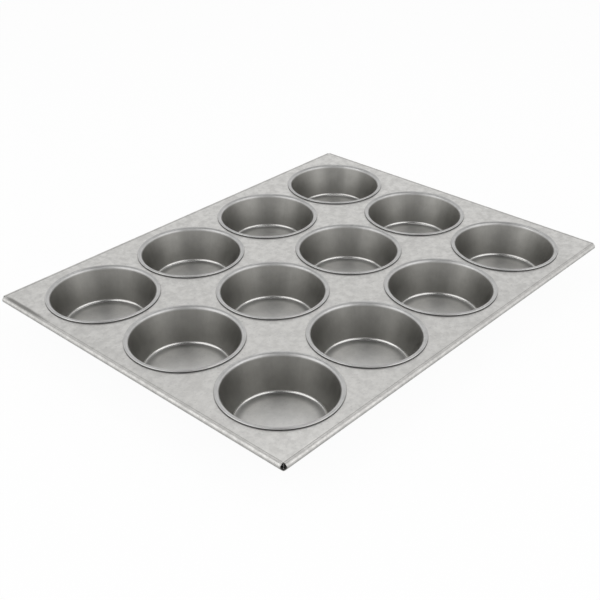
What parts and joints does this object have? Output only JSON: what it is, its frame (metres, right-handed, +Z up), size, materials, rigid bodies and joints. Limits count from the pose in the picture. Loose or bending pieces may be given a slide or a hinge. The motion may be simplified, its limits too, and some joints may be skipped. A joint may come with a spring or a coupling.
{
  "type": "jumbo muffin pan",
  "caption": "Commercial jumbo muffin pan: wide straight-walled metal cups locked by rolled lips into a flat rectangular sheet frame with rolled, wired edges.",
  "frame": {"origin": "under the middle of the pan, on the plane that the undersides of the cup floors stand on", "axes": "+X along the pan's length (a row of four cups), +Y across its width (three rows, front to back), +Z up out of the cups' mouths"},
  "size_m": [0.53, 0.409, 0.0384],
  "materials": {
    "frame_metal": "satin aluminized sheet, light grey, faintly mottled",
    "cup_metal": "drawn aluminized sheet, satin, slightly darker and smoother than the frame",
    "wire_metal": "plain drawn steel wire"
  },
  "bodies": {
    "root": {"frame_sheet": "frame_metal", "cup_front_1": "cup_metal", "cup_front_2": "cup_metal", "cup_front_3": "cup_metal", "cup_front_4": "cup_metal", "cup_middle_1": "cup_metal", "cup_middle_2": "cup_metal", "cup_middle_3": "cup_metal", "cup_middle_4": "cup_metal", "cup_back_1": "cup_metal", "cup_back_2": "cup_metal", "cup_back_3": "cup_metal", "cup_back_4": "cup_metal", "edge_wire_front": "wire_metal", "edge_wire_right": "wire_metal", "edge_wire_back": "wire_metal", "edge_wire_left": "wire_metal"}
  },
  "joints": []
}
